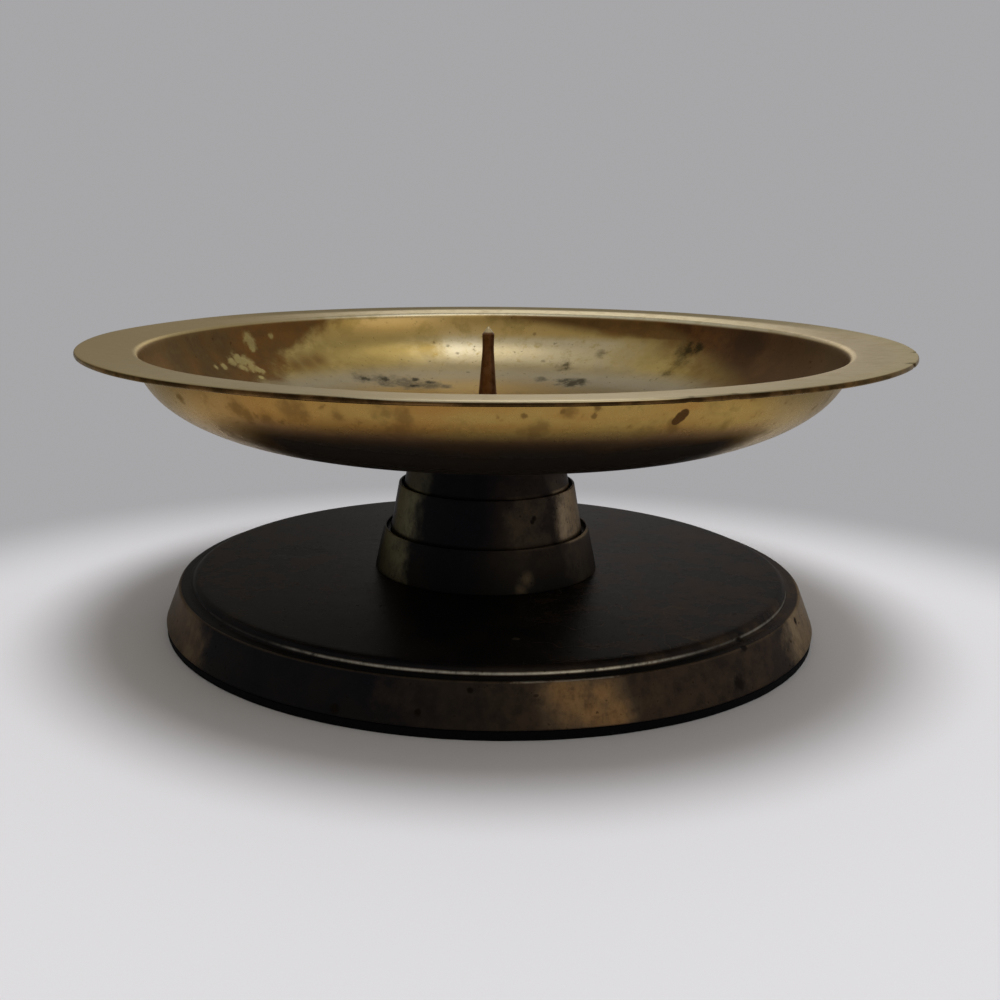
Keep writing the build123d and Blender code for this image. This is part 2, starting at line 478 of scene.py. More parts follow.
SPECKS = ((99, 11.9, 0.5), (97, 9.8, 0.5), (77, 8.0, 0.6), (80, 15.5, 0.5), (45, 7.0, 0.7), (95, 5.0, 0.5))
# Painted highlight: pale brass behind the spike, where the window's reflection falls
HIGHLIGHT_PATCHES = ((97, 11.2, 5.5), (93.5, 11.4, 5.0))
WAX = (
    (145.9, 17.2, 1.9), (145.6, 15.9, 2.0), (145.9, 14.1, 1.2), (139.5, 17.2, 0.9), (159.6, 11.2, 0.9),
    (156.7, 11.3, 1.2), (153.5, 12.0, 1.6), (151.1, 12.3, 2.1), (150.1, 11.4, 2.4), (149.1, 10.1, 2.2),
    (148.2, 9.2, 1.7), (147.4, 8.6, 1.2), (151.8, 10.0, 1.6), (149.5, 7.2, 0.8),
)
OVAL_STAIN = ((-64.3, 16.8, 1.05), (-64.7, 16.1, 1.25), (-65.1, 15.4, 1.05))
OUTSIDE_SPECKS = ((-80.7, 18.3, 0.6), (-76.7, 17.2, 0.6), (-85.5, 17.4, 0.6), (-76.4, 18.7, 0.7))
OUTSIDE_STAINS = (
    (-126, 15.8, 1.9), (-124.2, 14.5, 1.5), (-121.2, 14.3, 1.6), (-116.6, 16.6, 1.9), (-115.2, 17.4, 1.6),
    (-114.6, 16.2, 1.4), (-109.4, 16.3, 1.3), (-100.6, 16.8, 1.7), (-102.8, 17.6, 1.3), (-65.4, 14.2, 1.6),
    (-101, 13.5, 2.5), (-84, 14.1, 2.2), (-139.6, 15.5, 1.1), (-80, 18.4, 1.4),
)
RIM_NICKS = (
    (-13.1, 21.9, 1.3), (-25.8, 21.9, 1.6), (-7.5, 21.9, 0.9), (-64, 21.6, 1.2), (-69, 21.6, 1.0),
    (60, 21.9, 1.0),
)

# Sectors of the dish, as sector() takes them
# The next two paint highlights behind the spike and high on the far wall
POLISHED_HIGHLIGHT_SECTOR = (82, 16, 18)
GLOW_HIGHLIGHT_SECTOR = (109, 4, 9)
UPPER_SECTOR = (98, 26, 12)
DIM_SECTOR = (116, 11, 7)
LEFT_TARNISH_SECTOR = (168, 38, 4)
RIGHT_TARNISH_SECTOR = (-10, 55, 14)
TOP_TARNISH_AND_SHADE_SECTOR = (35, 35, 10)
FAR_FLANGE_SECTOR = (80, 40, 35)
NEAR_FLANGE_SECTOR = (-85, 25, 25)
LEFT_FLANGE_SECTOR = (180, 40, 35)
BRIGHT_RIM_SECTOR = (-86, 8, 14)
NEAR_SHADE_SECTOR = (-88, 38, 6)
FAR_SHADE_SECTOR = (90, 50, 25)
REDDISH_SECTOR = (-125, 12, 12)

# Heights above the dish's floor: where each finish, painted highlight and painted shade starts, and where it
# is full
POLISHED_HIGHLIGHT_FOOT = (4 * MM, 7 * MM)
POLISHED_HIGHLIGHT_TOP = (15 * MM, 12 * MM)
GLOW_HIGHLIGHT_FOOT = (15 * MM, 19 * MM)
UPPER_FOOT = (12 * MM, 15 * MM)
FLAT_TOP = (7 * MM, 2.5 * MM)
TOP_TARNISH_AND_SHADE_FOOT = (13 * MM, 15 * MM)

# The dim band round the dish's wall
DIM_MIDDLE = 10.5 * MM
DIM_REACH = 6 * MM

# The tarnish spreads further round at the top of the wall than at its foot: cosine gained per metre up
LEFT_TARNISH_MIDDLE = 15 * MM
LEFT_TARNISH_LEAN = 15
RIGHT_TARNISH_MIDDLE = 11.4 * MM
RIGHT_TARNISH_LEAN = 31
TOP_TARNISH_AND_SHADE_MIDDLE = 16 * MM
TOP_TARNISH_AND_SHADE_LEAN = 60

# Distances on the dish, from the axis out unless said otherwise
RIGHT_TARNISH_START = (40 * MM, 65 * MM)
SMOOTH_SIDE = (50 * MM, 80 * MM)  # along X
OLIVE_WIDTH = 8 * MM  # in from the rim
OLIVE_RAGGED = 6 * MM
EDGE_WEAR_AND_HIGHLIGHT = 1 * MM  # in from the rim
INNER_HALF_SHARES = (0.35, 0.6)  # of the flange's width, in from the rim

# Colours of the dish's inside
OLIVE_GOLD = (0.46, 0.33, 0.11)
WARM_GOLD = (0.62, 0.46, 0.17)
DEEP_GOLD = (0.34, 0.23, 0.065)
BAND_GOLD = (0.7, 0.47, 0.17)
PALE_BRASS = (0.82, 0.72, 0.5)
FLOOR_BRASS = (0.54, 0.53, 0.42)
FLANGE_BRASS = (0.62, 0.535, 0.4)
OLIVE_FLANGE = (0.58, 0.52, 0.29)
# The next two paint shade and a highlight on the far flange's outer and inner halves
GREY_FLANGE_SHADE = (0.25, 0.22, 0.14)
PALE_FLANGE_HIGHLIGHT = (0.82, 0.76, 0.57)
NEAR_FLANGE = (0.45, 0.4, 0.27)
DULL_FLANGE = (0.44, 0.35, 0.18)
DARK_TARNISH = (0.06, 0.032, 0.018)
RED_TARNISH = (0.1, 0.041, 0.014)
BROWN_TARNISH = (0.195, 0.084, 0.024)
UMBER_TARNISH = (0.1, 0.06, 0.035)
STAIN = (0.034, 0.028, 0.014)
OLD_WAX = (0.24, 0.2, 0.075)
# Dark brown of dirt and painted shade, for the rim's lower edge and under the flange
GRIME_AND_SHADE = (0.045, 0.025, 0.009)
RIM_BROWN = (0.16, 0.085, 0.03)

# What the dish reflects at a grazing angle, where it is clean and where it is stained
BRASS_EDGE = (0.92, 0.83, 0.66)
STAIN_EDGE = (0.1, 0.085, 0.06)
DIRT_GLOSS = 0.15


def inside(marks):
    """Places marks on the dish's upper surface."""
    return placed(dish_outline(), marks, 1)


def outside(marks):
    """Places marks on the dish's underside and rim."""
    return placed(dish_outline(), marks)


def rim_grime_and_shade(g, high):
    """Dark brown on the lower half of the rim's edge, part dirt and part painted shade where the edge faces
    down. In the bright rim sector it sits lower and leaves the upper rounding bright there: its share and its
    colour.
    """
    outer = g.ease(g.radius, high.x - DISH_EDGE_ROUND, high.x - DISH_EDGE_ROUND / 2)
    bright = g.product(g.sector(BRIGHT_RIM_SECTOR, g.span(g.blotch, -0.02, 0.02)), DISH_SHEET / 3)
    lower = g.ease(g.total(g.z, bright), high.z, high.z - DISH_SHEET / 6)
    return g.product(outer, lower), g.mix(g.ease(g.blotch, 0.4, 0.65), GRIME_AND_SHADE, RIM_BROWN)


def spun_relief(g, turning_length):
    """The height of spun and handled sheet: lathe lines, grain and slow dents."""
    return g.total(
        g.product(g.streaks(TURNING_WIDTH, turning_length), SCRATCH),
        g.product(g.fine, SCRATCH),
        g.product(g.mottle, SCRATCH),
        g.product(g.cloud, DENT),
    )


def wall_gold(g, height, edge):
    """The untarnished brass inside the dish: pale behind the spike and high on the far wall, part polish and
    part painted highlight, dimmer in places, greyer on the floor.
    """
    gold = g.mix(g.ease(g.cloud, 0.35, 0.65), OLIVE_GOLD, WARM_GOLD)
    gold = g.mix(g.product(g.ease(g.blotch, 0.42, 0.7), 0.7), gold, DEEP_GOLD)
    # Pale brass behind the spike: part polish, part painted highlight
    rubbed_and_sheen = g.product(g.ease(height, *POLISHED_HIGHLIGHT_FOOT), g.ease(height, *POLISHED_HIGHLIGHT_TOP), 0.6)
    polished_and_highlit = g.most(
        g.product(g.sector(POLISHED_HIGHLIGHT_SECTOR, edge), rubbed_and_sheen),
        g.spots(inside(HIGHLIGHT_PATCHES), g.mottle, 0.95),
    )
    gold = g.mix(g.product(polished_and_highlit, g.ease(g.mottle, 0.2, 0.5)), gold, PALE_BRASS)
    # Painted highlight high on the far wall, just under the rim
    glow_highlight = g.product(g.sector(GLOW_HIGHLIGHT_SECTOR), g.ease(height, *GLOW_HIGHLIGHT_FOOT), 0.6)
    gold = g.mix(glow_highlight, gold, PALE_BRASS)
    upper = g.product(g.sector(UPPER_SECTOR, edge), g.ease(height, *UPPER_FOOT))
    gold = g.mix(g.product(upper, 0.7), gold, BAND_GOLD)
    dim = g.most(
        g.product(g.sector(DIM_SECTOR, edge), g.band(height, DIM_MIDDLE, DIM_REACH)),
        g.product(upper, g.ease(g.blotch, 0.48, 0.62), 0.6),
    )
    gold = g.mix(dim, gold, OLIVE_GOLD)
    flat = g.product(g.ease(height, *FLAT_TOP), g.span(g.cloud, 0.8, 1))
    return g.mix(flat, gold, g.mix(g.mottle, FLOOR_BRASS, FLANGE_BRASS))


def leaning_sector(g, limits, edge, height, middle, lean):
    """A sector that grows wider with height. Its limits hold at the height called middle."""
    gained = g.product(g.math("SUBTRACT", height, middle), lean)
    return g.sector(limits, g.total(edge, gained))


def wall_tarnish_and_shade(g, height, edge, uneven):
    """Tarnishing inside the dish, with painted shade in its dark band under the far rim on the right: its
    share and its colour.
    """
    left = leaning_sector(g, LEFT_TARNISH_SECTOR, edge, height, LEFT_TARNISH_MIDDLE, LEFT_TARNISH_LEAN)
    right = leaning_sector(g, RIGHT_TARNISH_SECTOR, edge, height, RIGHT_TARNISH_MIDDLE, RIGHT_TARNISH_LEAN)
    top = leaning_sector(g, TOP_TARNISH_AND_SHADE_SECTOR, edge, height, TOP_TARNISH_AND_SHADE_MIDDLE, TOP_TARNISH_AND_SHADE_LEAN)
    share = g.most(
        g.product(left, g.span(g.mottle, 0.8, 1)),
        g.product(right, g.ease(g.radius, *RIGHT_TARNISH_START)),
        # The top band is part tarnish, part painted shade under the far rim
        g.product(top, g.ease(height, *TOP_TARNISH_AND_SHADE_FOOT), 0.85),
        g.product(g.spots(inside(BROWN_PATCHES), g.blotch, 0.9), 0.7),
    )
    brown = g.mix(g.ease(uneven, 0.38, 0.66), RED_TARNISH, BROWN_TARNISH)
    brown = g.mix(g.product(g.ease(g.x, *SMOOTH_SIDE), 0.7), brown, UMBER_TARNISH)
    dark = g.product(g.spots(inside(DARK_PATCHES), g.blotch, 0.9), 0.75)
    return share, g.mix(dark, brown, DARK_TARNISH)


def flange_brass(g, high, edge, uneven):
    """The flange's colour, with a painted highlight on the inner half of its far side and painted shade on
    the outer half, and the share of that outer half whose reflection is dulled too.
    """
    ragged = g.product(g.math("SUBTRACT", g.blotch, 0.5), OLIVE_RAGGED)
    outer = g.ease(g.total(g.radius, ragged), high.x - OLIVE_WIDTH, high.x)
    colour = g.mix(g.product(outer, 0.8), FLANGE_BRASS, OLIVE_FLANGE)
    inner_half = g.ease(g.radius, *(high.x - FLANGE_WIDTH * share for share in INNER_HALF_SHARES))
    far = g.sector(FAR_FLANGE_SECTOR, edge)
    # Painted highlight and shade on the far flange: pale on the inner half, grey on the outer
    colour = g.mix(far, colour, g.mix(g.span(inner_half, 0.1, 0.9), GREY_FLANGE_SHADE, PALE_FLANGE_HIGHLIGHT))
    colour = g.mix(g.sector(NEAR_FLANGE_SECTOR, edge), colour, NEAR_FLANGE)
    colour = g.mix(g.sector(LEFT_FLANGE_SECTOR, edge), colour, DULL_FLANGE)
    colour = g.mix(g.product(g.ease(uneven, 0.42, 0.66), 0.55), colour, DULL_FLANGE)
    # Pale brass round the rim's edge in front: wear, with a painted highlight where the edge catches the
    # light
    wear_and_sheen = g.ease(g.radius, high.x - EDGE_WEAR_AND_HIGHLIGHT, high.x - EDGE_WEAR_AND_HIGHLIGHT / 3)
    colour = g.mix(g.product(wear_and_sheen, g.sector(BRIGHT_RIM_SECTOR)), colour, PALE_BRASS)
    return colour, g.product(far, g.less(inner_half), 0.7)


def inside_stains(g, inner):
    """Dark stains with blacker hearts, specks, pinpricks, and dirt in the rim's nicks."""
    pinpricks = g.ease(g.noise(MOTTLE / 2, 3, 0.6), 0.64, 0.72)
    return g.most(
        g.product(g.spots(inside(FLOOR_STAINS), g.mottle, 0.7, 3), g.span(g.fine, 0.2, 0.9)),
        g.product(g.spots(inside(INK_STAINS), g.mottle, 0.8, 4), g.span(g.fine, 0.7, 1.1)),
        g.product(g.spots(inside(SPECKS), g.fine, 0.8), 0.5),
        g.product(g.spots(outside(RIM_NICKS), g.mottle, 0.6), 0.6),
        g.product(pinpricks, inner, 0.45),
    )


def dish_inside():
    """The dish's upper side: brass in several golds under tarnishing, stains and old wax, with painted
    highlights behind the spike and painted shade under the far rim.
    """
    g = Metal("dish_inside")
    low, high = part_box("dish")
    edge = g.span(g.blotch, -0.08, 0.08)
    uneven = g.total(g.product(g.blotch, 0.6), g.product(g.mottle, 0.4))
    height = g.math("SUBTRACT", g.z, low.z + DISH_SHEET)
    bend = high.x - FLANGE_WIDTH - FLANGE_BEND
    flange = g.ease(g.radius, bend - FLANGE_BEND / 4, bend + FLANGE_BEND / 2)
    inner = g.less(flange)

    tarnish_and_shade, tarnish_and_shade_colour = wall_tarnish_and_shade(g, height, edge, uneven)
    tarnish_and_shade = g.product(inner, tarnish_and_shade)
    flange_colour, dull_flange = flange_brass(g, high, edge, uneven)
    stains = inside_stains(g, inner)
    wax = g.spots(inside(WAX), g.mottle, 0.45, 2.6)
    grime_and_shade, grime_and_shade_colour = rim_grime_and_shade(g, high)
    colour = g.mix(tarnish_and_shade, wall_gold(g, height, edge), tarnish_and_shade_colour)
    colour = g.mix(flange, colour, flange_colour)
    colour = g.mix(g.product(stains, 0.9), colour, STAIN)
    colour = g.mix(g.product(wax, g.span(g.fine, 0.5, 0.95)), colour, OLD_WAX)
    # Dirt and painted shade on the lower half of the rim's edge
    colour = g.mix(grime_and_shade, colour, grime_and_shade_colour)

    dull = g.most(g.product(tarnish_and_shade, 0.12), g.product(stains, 0.1), g.product(wax, 0.9))
    roughness = g.total(g.span(g.mottle, 0.24, 0.36), g.product(tarnish_and_shade, 0.08), g.product(stains, 0.2))
    relief = g.total(spun_relief(g, INSIDE_TURNING), g.product(stains, CRUST))
    dark_edge = g.most(stains, g.product(flange, dull_flange))
    g.feed(g.shader.inputs["Specular Tint"], g.mix(dark_edge, BRASS_EDGE, STAIN_EDGE))
    g.feed(g.shader.inputs["Specular IOR Level"], DIRT_GLOSS)
    return g.finish(colour, g.less(dull), roughness, relief)


# Colours of the dish's outside
REDDISH_BRASS = (0.33, 0.175, 0.045)
YELLOW_BRASS = (0.36, 0.238, 0.068)
# The next three colours paint reflections: greyer brass on the sides, and the dark foot reflected purple and
# then dark low down
SIDE_REFLECTION_BRASS = (0.25, 0.185, 0.088)
PURPLE_BROWN = (0.24, 0.14, 0.08)
UNDERSIDE_REFLECTION_DARK = (0.055, 0.05, 0.044)
SPOT_BROWN = (0.07, 0.03, 0.01)

# Heights above the dish's foot where the painted reflection of the dark foot turns the brass purple and then
# dark, and how ragged they are
PURPLE_TOP = (14.5 * MM, 11 * MM)
DARK_TOP = (13 * MM, 8.5 * MM)
SHADE_RAGGED = 4 * MM


def outside_marks(g):
    """The oval stain, specks, soft stains and blotches."""
    return g.most(
        g.spots(outside(OVAL_STAIN), g.mottle, 0.15, 0.5),
        g.product(g.spots(outside(OUTSIDE_SPECKS), g.fine, 0.5), 0.6),
        g.product(g.spots(outside(OUTSIDE_STAINS), g.mottle, 0.8, 3.6), 0.45),
        g.product(g.ease(g.noise(MOTTLE, 3, 0.6), 0.6, 0.76), 0.4),
        g.product(g.ease(g.noise(BLOTCH * 1.5, 5, 0.7), 0.52, 0.68), 0.35),
    )


def dish_outside():
    """The dish's underside: streaked brass, darkening downwards in front and behind as a painted reflection
    of the dark foot, and greyer on the sides as a painted reflection of the room.
    """
    g = Metal("dish_outside")
    low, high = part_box("dish")
    streaked = g.streaks(BLOTCH / 4, BLOTCH * 5, 5)
    edge = g.span(g.cloud, -0.04, 0.04)
    ragged = g.product(g.math("SUBTRACT", g.cloud, 0.5), SHADE_RAGGED)
    height = g.math("SUBTRACT", g.total(g.z, ragged), low.z)
    shade = g.most(g.sector(NEAR_SHADE_SECTOR, edge), g.product(g.sector(FAR_SHADE_SECTOR, edge), 0.8))
    purple = g.product(g.ease(height, *PURPLE_TOP), shade)
    dark = g.product(g.ease(height, *DARK_TOP), shade)
    marks = outside_marks(g)

    uneven = g.total(g.product(g.cloud, 0.5), g.product(streaked, 0.5))
    colour = g.mix(g.ease(uneven, 0.4, 0.6), REDDISH_BRASS, YELLOW_BRASS)
    colour = g.mix(g.product(g.ease(g.mottle, 0.5, 0.8), 0.4), colour, REDDISH_BRASS)
    # Painted reflection: greyer brass on the sides, which see the room at a grazing angle
    colour = g.mix(g.product(g.less(shade), 0.75), colour, SIDE_REFLECTION_BRASS)
    colour = g.mix(g.product(g.sector(REDDISH_SECTOR, edge), 0.6), colour, REDDISH_BRASS)
    # Painted reflection of the dark foot, purple and then dark towards the bottom in front and behind
    colour = g.mix(g.product(purple, 0.8), colour, PURPLE_BROWN)
    colour = g.mix(g.product(dark, 0.9), colour, UNDERSIDE_REFLECTION_DARK)
    colour = g.mix(g.product(marks, 0.9), colour, SPOT_BROWN)
    # Painted shade under the flange: its underside and the rim's outer edge darkened with the rim's dark
    # brown
    under_flange = g.ease(g.radius, high.x - FLANGE_WIDTH / 2, high.x)
    colour = g.mix(g.product(under_flange, 0.7), colour, GRIME_AND_SHADE)
    # Dirt and painted shade on the lower half of the rim's edge
    grime_and_shade, grime_and_shade_colour = rim_grime_and_shade(g, high)
    colour = g.mix(grime_and_shade, colour, grime_and_shade_colour)

    roughness = g.total(g.span(g.mottle, 0.22, 0.34), g.product(marks, 0.15), g.product(dark, 0.08))
    dull = g.most(g.product(marks, 0.4), g.product(dark, 0.15))
    g.feed(g.shader.inputs["Specular Tint"], g.mix(g.most(marks, dark), BRASS_EDGE, STAIN_EDGE))
    g.feed(g.shader.inputs["Specular IOR Level"], DIRT_GLOSS)
    return g.finish(colour, g.less(dull), roughness, spun_relief(g, OUTSIDE_TURNING))


# Colours of the stem and the foot
BLUE_BLACK = (0.008, 0.0085, 0.012)
BROWN_BLACK = (0.015, 0.0135, 0.013)
DARK_BROWN = (0.045, 0.029, 0.021)
BRONZE_BROWN = (0.1, 0.066, 0.04)
OLIVE_BRASS = (0.135, 0.125, 0.08)
TAN_BRASS = (0.38, 0.29, 0.19)
COPPER_BRASS = (0.48, 0.27, 0.11)
POLISHED_HIGHLIGHT_BRASS = (0.62, 0.61, 0.56)
PIT_DIRT = (0.008, 0.006, 0.004)
PATINA_GLOSS = 0.18
PATINA_EDGE = (0.35, 0.33, 0.32, 1)


def dark_bronze(g, wear_and_sheen, brass, warm, marks):
    """Brown-black patina over brass. The three shares given are where the brass shows, from wear and from
    painted highlights and reflections, where it is warm brown, and where it is sunk and dirty."""
    grain = g.upright(FINE, 4)
    pits = g.ease(g.noise(MOTTLE / 2, 2, 0.5), 0.66, 0.76)
    uneven = g.total(g.product(g.blotch, 0.5), g.product(g.mottle, 0.5))
    colour = g.mix(g.ease(g.cloud, 0.35, 0.65), BLUE_BLACK, BROWN_BLACK)
    colour = g.mix(warm, colour, g.mix(g.ease(uneven, 0.38, 0.62), DARK_BROWN, BRONZE_BROWN))
    break_up = g.total(g.product(g.mottle, 0.5), g.product(grain, 0.25), g.product(g.fine, 0.25))
    rubbed_and_sheen = g.product(wear_and_sheen, g.ease(break_up, 0.18, 0.62))
    colour = g.mix(rubbed_and_sheen, colour, brass)
    colour = g.mix(g.most(g.product(pits, 0.6), g.product(marks, 0.95)), colour, PIT_DIRT)
    roughness = g.total(g.span(uneven, 0.34, 0.52), g.product(pits, 0.15), g.product(rubbed_and_sheen, -0.06))
    g.feed(g.shader.inputs["Specular IOR Level"], PATINA_GLOSS)
    g.feed(g.shader.inputs["Specular Tint"], PATINA_EDGE)
    relief = g.total(
        g.product(g.fine, SCRATCH),
        g.product(grain, SCRATCH),
        g.product(pits, -CRUST),
        g.product(marks, -CRUST * 2),
        g.product(g.blotch, DENT / 4),
    )
    return g.finish(colour, g.span(rubbed_and_sheen, 0.6, 1), roughness, relief)


# Sectors and marks of the stem
STEM_LEFT_SECTOR = (-150, 8, 13)
STEM_RIGHT_SECTOR = (-24, 7, 15)
STEM_STRIP_SECTOR = (-63, 4, 12)
STEM_BACK_SECTOR = (70, 50, 50)
STEM_WARM_SECTOR = (-52, 25, 20)
STEM_PITS = ((-60, 8.0, 0.7), (-61.5, 7.2, 0.6))
STEM_RUBS = ((-69, 3.4, 1.5), (-72, 1.2, 1.2))
STEM_MOTTLE = 5 * MM


def stem_bronze():
    """The three collars, with brass strips showing at the left and at the right: part wear, part painted
    reflection of the room along their edges.
    """
    g = Metal("stem_bronze")
    ragged = g.noise(STEM_MOTTLE, 4, 0.6)
    edge = g.span(ragged, -0.05, 0.05)
    lower_foot, lower_top = (corner.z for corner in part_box("stem_lower_collar"))
    middle_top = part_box("stem_middle_collar")[1].z
    low = g.ease(g.z, lower_top, lower_top - FINE)
    high = g.ease(g.z, middle_top, middle_top + FINE)
    middle = g.less(g.most(low, high))
    shaded = g.ease(g.z, lower_top, lower_foot)

    rubs = placed(collar_outline("stem_lower_collar", LOWER_TOP_RADIUS, True), STEM_RUBS)
    # Brass strips at the collars' left and right edges: part wear, part painted reflection of the room
    wear_and_sheen = g.most(
        g.product(g.sector(STEM_LEFT_SECTOR, edge), g.less(g.product(high, 0.5))),
        g.product(g.sector(STEM_RIGHT_SECTOR, edge), g.total(0.12, g.product(middle, 0.78))),
        g.product(g.sector(STEM_STRIP_SECTOR, edge), middle, 0.08),
        g.product(g.sector(STEM_BACK_SECTOR, edge), 0.25),
        g.product(g.spots(rubs, ragged, 0.8), 0.2),
    )
    brass = g.mix(g.ease(g.x, -COLLAR_BORE, COLLAR_BORE), OLIVE_BRASS, TAN_BRASS)
    warm = g.product(g.sector(STEM_WARM_SECTOR, edge), g.less(shaded), 0.25)
    pits = placed(collar_outline("stem_middle_collar", MIDDLE_TOP_RADIUS, True), STEM_PITS)
    return dark_bronze(g, wear_and_sheen, brass, warm, g.spots(pits, ragged, 0.4))


# Sectors and marks of the foot
FRONT_SECTOR = (-88, 26, 18)
MIDDLE_SECTOR = (-93, 8, 8)
FRONT_EDGE_SECTOR = (-76, 6, 6)
NEAR_RIGHT_SECTOR = (-55, 30, 20)
SCRATCHED_SECTOR = (-52, 22, 15)
RIGHT_SECTOR = (-15, 9, 11)
FAR_RIGHT_SECTOR = (-5, 30, 20)
RIGHT_HALF_SECTOR = (-5, 60, 40)
BACK_SECTOR = (90, 60, 50)
LEFT_HALF_SECTOR = (180, 35, 30)
LEFT_SECTOR = (-160, 12, 10)
BASE_CHIPS = ((-42.3, 9.4, 1.2), (-44.5, 9.0, 0.9), (-24.2, 7.8, 0.9))
BASE_NICKS = (
    (-99.3, 3.0, 0.7), (-48.1, 3.1, 1.5), (-112, 1.6, 1.0), (-92, 7.6, 0.6), (70, 6.0, 1.0),
    (150, 4.0, 0.9),
)
FRONT_RUB_AND_REFLECTION = ((-77, 5.2, 5.5), (-74.5, 3.2, 5.0), (-78.5, 7.2, 4.0), (-72.5, 6.2, 3.5), (-71, 2.6, 3.5))
RISER_DEPTH = 1 * MM  # from the disc's rim in to where the bright line on its riser starts

# Marks on the foot's top, as on_disc() takes them
DISC_STAINS = ((172.4, 49.9, 4.6), (170.7, 46.6, 3.0), (173.5, 53.3, 3.0))
DISC_SPECK = ((-83.3, 58.3, 0.8),)


def on_disc(marks):
    """Places marks on the foot's top. A mark is its azimuth in degrees, its distance from the axis in
    millimetres and its radius in millimetres."""
    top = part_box("base")[1].z
    places = []
    for azimuth, r, radius in marks:
        centre = Vector((r * MM * cos(radians(azimuth)), r * MM * sin(radians(azimuth)), top))
        places.append((centre, radius * MM))
    return places


def foot_zones(g):
    """The foot's wall, the wall's upper corner, the painted highlight stripe on the riser, the ledge and the
    top.
    """
    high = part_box("base")[1]
    ledge = high.z - DISC_ROUND
    ledge_radius = high.x - WALL_FLARE
    disc_radius = ledge_radius - LEDGE_WIDTH
    wall = g.ease(g.radius, ledge_radius - LEDGE_ROUND, ledge_radius - LEDGE_ROUND / 4)
    corner = g.band(g.radius, ledge_radius - LEDGE_ROUND / 4, LEDGE_ROUND / 2)
    riser = g.product(
        g.band(g.z, ledge + DISC_ROUND / 4, DISC_ROUND / 4),
        g.ease(g.radius, disc_radius - RISER_DEPTH, disc_radius - RISER_DEPTH / 2),
    )
    gutter = g.product(g.ease(g.radius, disc_radius, disc_radius + LEDGE_ROUND / 2), g.less(wall))
    top = g.ease(g.radius, disc_radius - RISER_DEPTH / 2, disc_radius - DISC_ROUND)
    return wall, corner, riser, gutter, top


def foot_warmth(g, wall, gutter, top, front_rub_and_reflection, edge):
    """The share of warm brown in the foot's patina."""
    on_wall = g.most(
        g.product(g.sector(MIDDLE_SECTOR, edge), 0.2),
        g.product(g.sector(NEAR_RIGHT_SECTOR, edge), 0.5),
        front_rub_and_reflection,
        g.product(g.sector(LEFT_SECTOR, edge), 0.7),
        g.sector(RIGHT_SECTOR, edge),
    )
    on_top = g.most(g.product(g.sector(LEFT_HALF_SECTOR, edge), 0.35), 0.1)
    warm = g.most(
        g.product(wall, on_wall),
        g.product(top, on_top, g.ease(g.blotch, 0.25, 0.65)),
        g.product(g.sector(RIGHT_HALF_SECTOR, edge), g.ease(g.blotch, 0.3, 0.7), 0.6),
    )
    in_gutter = g.product(gutter, g.sector(FAR_RIGHT_SECTOR, edge), 0.7)
    return g.most(g.product(warm, g.less(gutter)), in_gutter)


def base_bronze():
    """The foot, with brass showing at the left, the right and the front, part wear and part painted
    reflection, and a painted highlight stripe on its riser.
    """
    g = Metal("base_bronze")
    mottle = g.noise(MOTTLE, 4, 0.6)
    edge = g.span(g.blotch, -0.06, 0.06)
    wall, corner, riser, gutter, top = foot_zones(g)
    # Copper-gold patch low on the front of the wall: part rubbing, part painted reflection of the doorway
    front_rub_and_reflection = g.spots(placed(base_outline(), FRONT_RUB_AND_REFLECTION), g.blotch, 0.95)
    front_edge = g.sector(FRONT_EDGE_SECTOR, edge)
    # Brass at the wall's left and right edges: part wear, part painted reflection of the room
    left = g.product(g.sector(LEFT_SECTOR, edge), 0.25)
    right = g.sector(RIGHT_SECTOR, edge)
    back = g.product(g.sector(BACK_SECTOR, edge), g.ease(mottle, 0.3, 0.75), 0.2)
    # Painted highlight along the riser's foot, strongest in front and at the far right
    line = g.most(g.sector(FRONT_SECTOR, edge), g.product(g.sector(FAR_RIGHT_SECTOR, edge), 0.7), 0.06)
    scratched = g.product(top, g.sector(SCRATCHED_SECTOR, edge), 0.2)
    wear_and_sheen = g.most(
        g.product(riser, line, g.ease(mottle, 0.2, 0.5)),
        g.product(corner, g.most(front_edge, 0.15)),
        g.product(wall, g.most(g.product(front_rub_and_reflection, 0.36), left, right, back)),
        g.product(g.band(g.noise(BLOTCH * 1.5, 2, 0.4), 0.5, 0.006), scratched),
        g.product(g.spots(on_disc(DISC_SPECK), mottle, 0.4), 0.3),
    )
    brass = g.mix(g.most(front_rub_and_reflection, back), TAN_BRASS, COPPER_BRASS)
    # Grey brass on the riser stripe and the front of the wall's corner: wear, with painted highlights in
    # front
    brass = g.mix(g.most(riser, g.product(corner, front_edge)), brass, POLISHED_HIGHLIGHT_BRASS)
    warm = foot_warmth(g, wall, gutter, top, front_rub_and_reflection, edge)
    marks = g.most(
        g.spots(placed(base_outline(), BASE_CHIPS + BASE_NICKS), mottle, 0.4),
        g.spots(on_disc(DISC_STAINS), mottle, 0.5),
    )
    return dark_bronze(g, wear_and_sheen, brass, warm, marks)


# The spike
SPIKE_RED = (0.13, 0.056, 0.02)
SPIKE_BROWN = (0.22, 0.11, 0.055)
TIP_BRASS = (0.75, 0.62, 0.36)
RING_STRETCH = (0.2, 0.2, 5)  # of the noise, so that it runs in rings


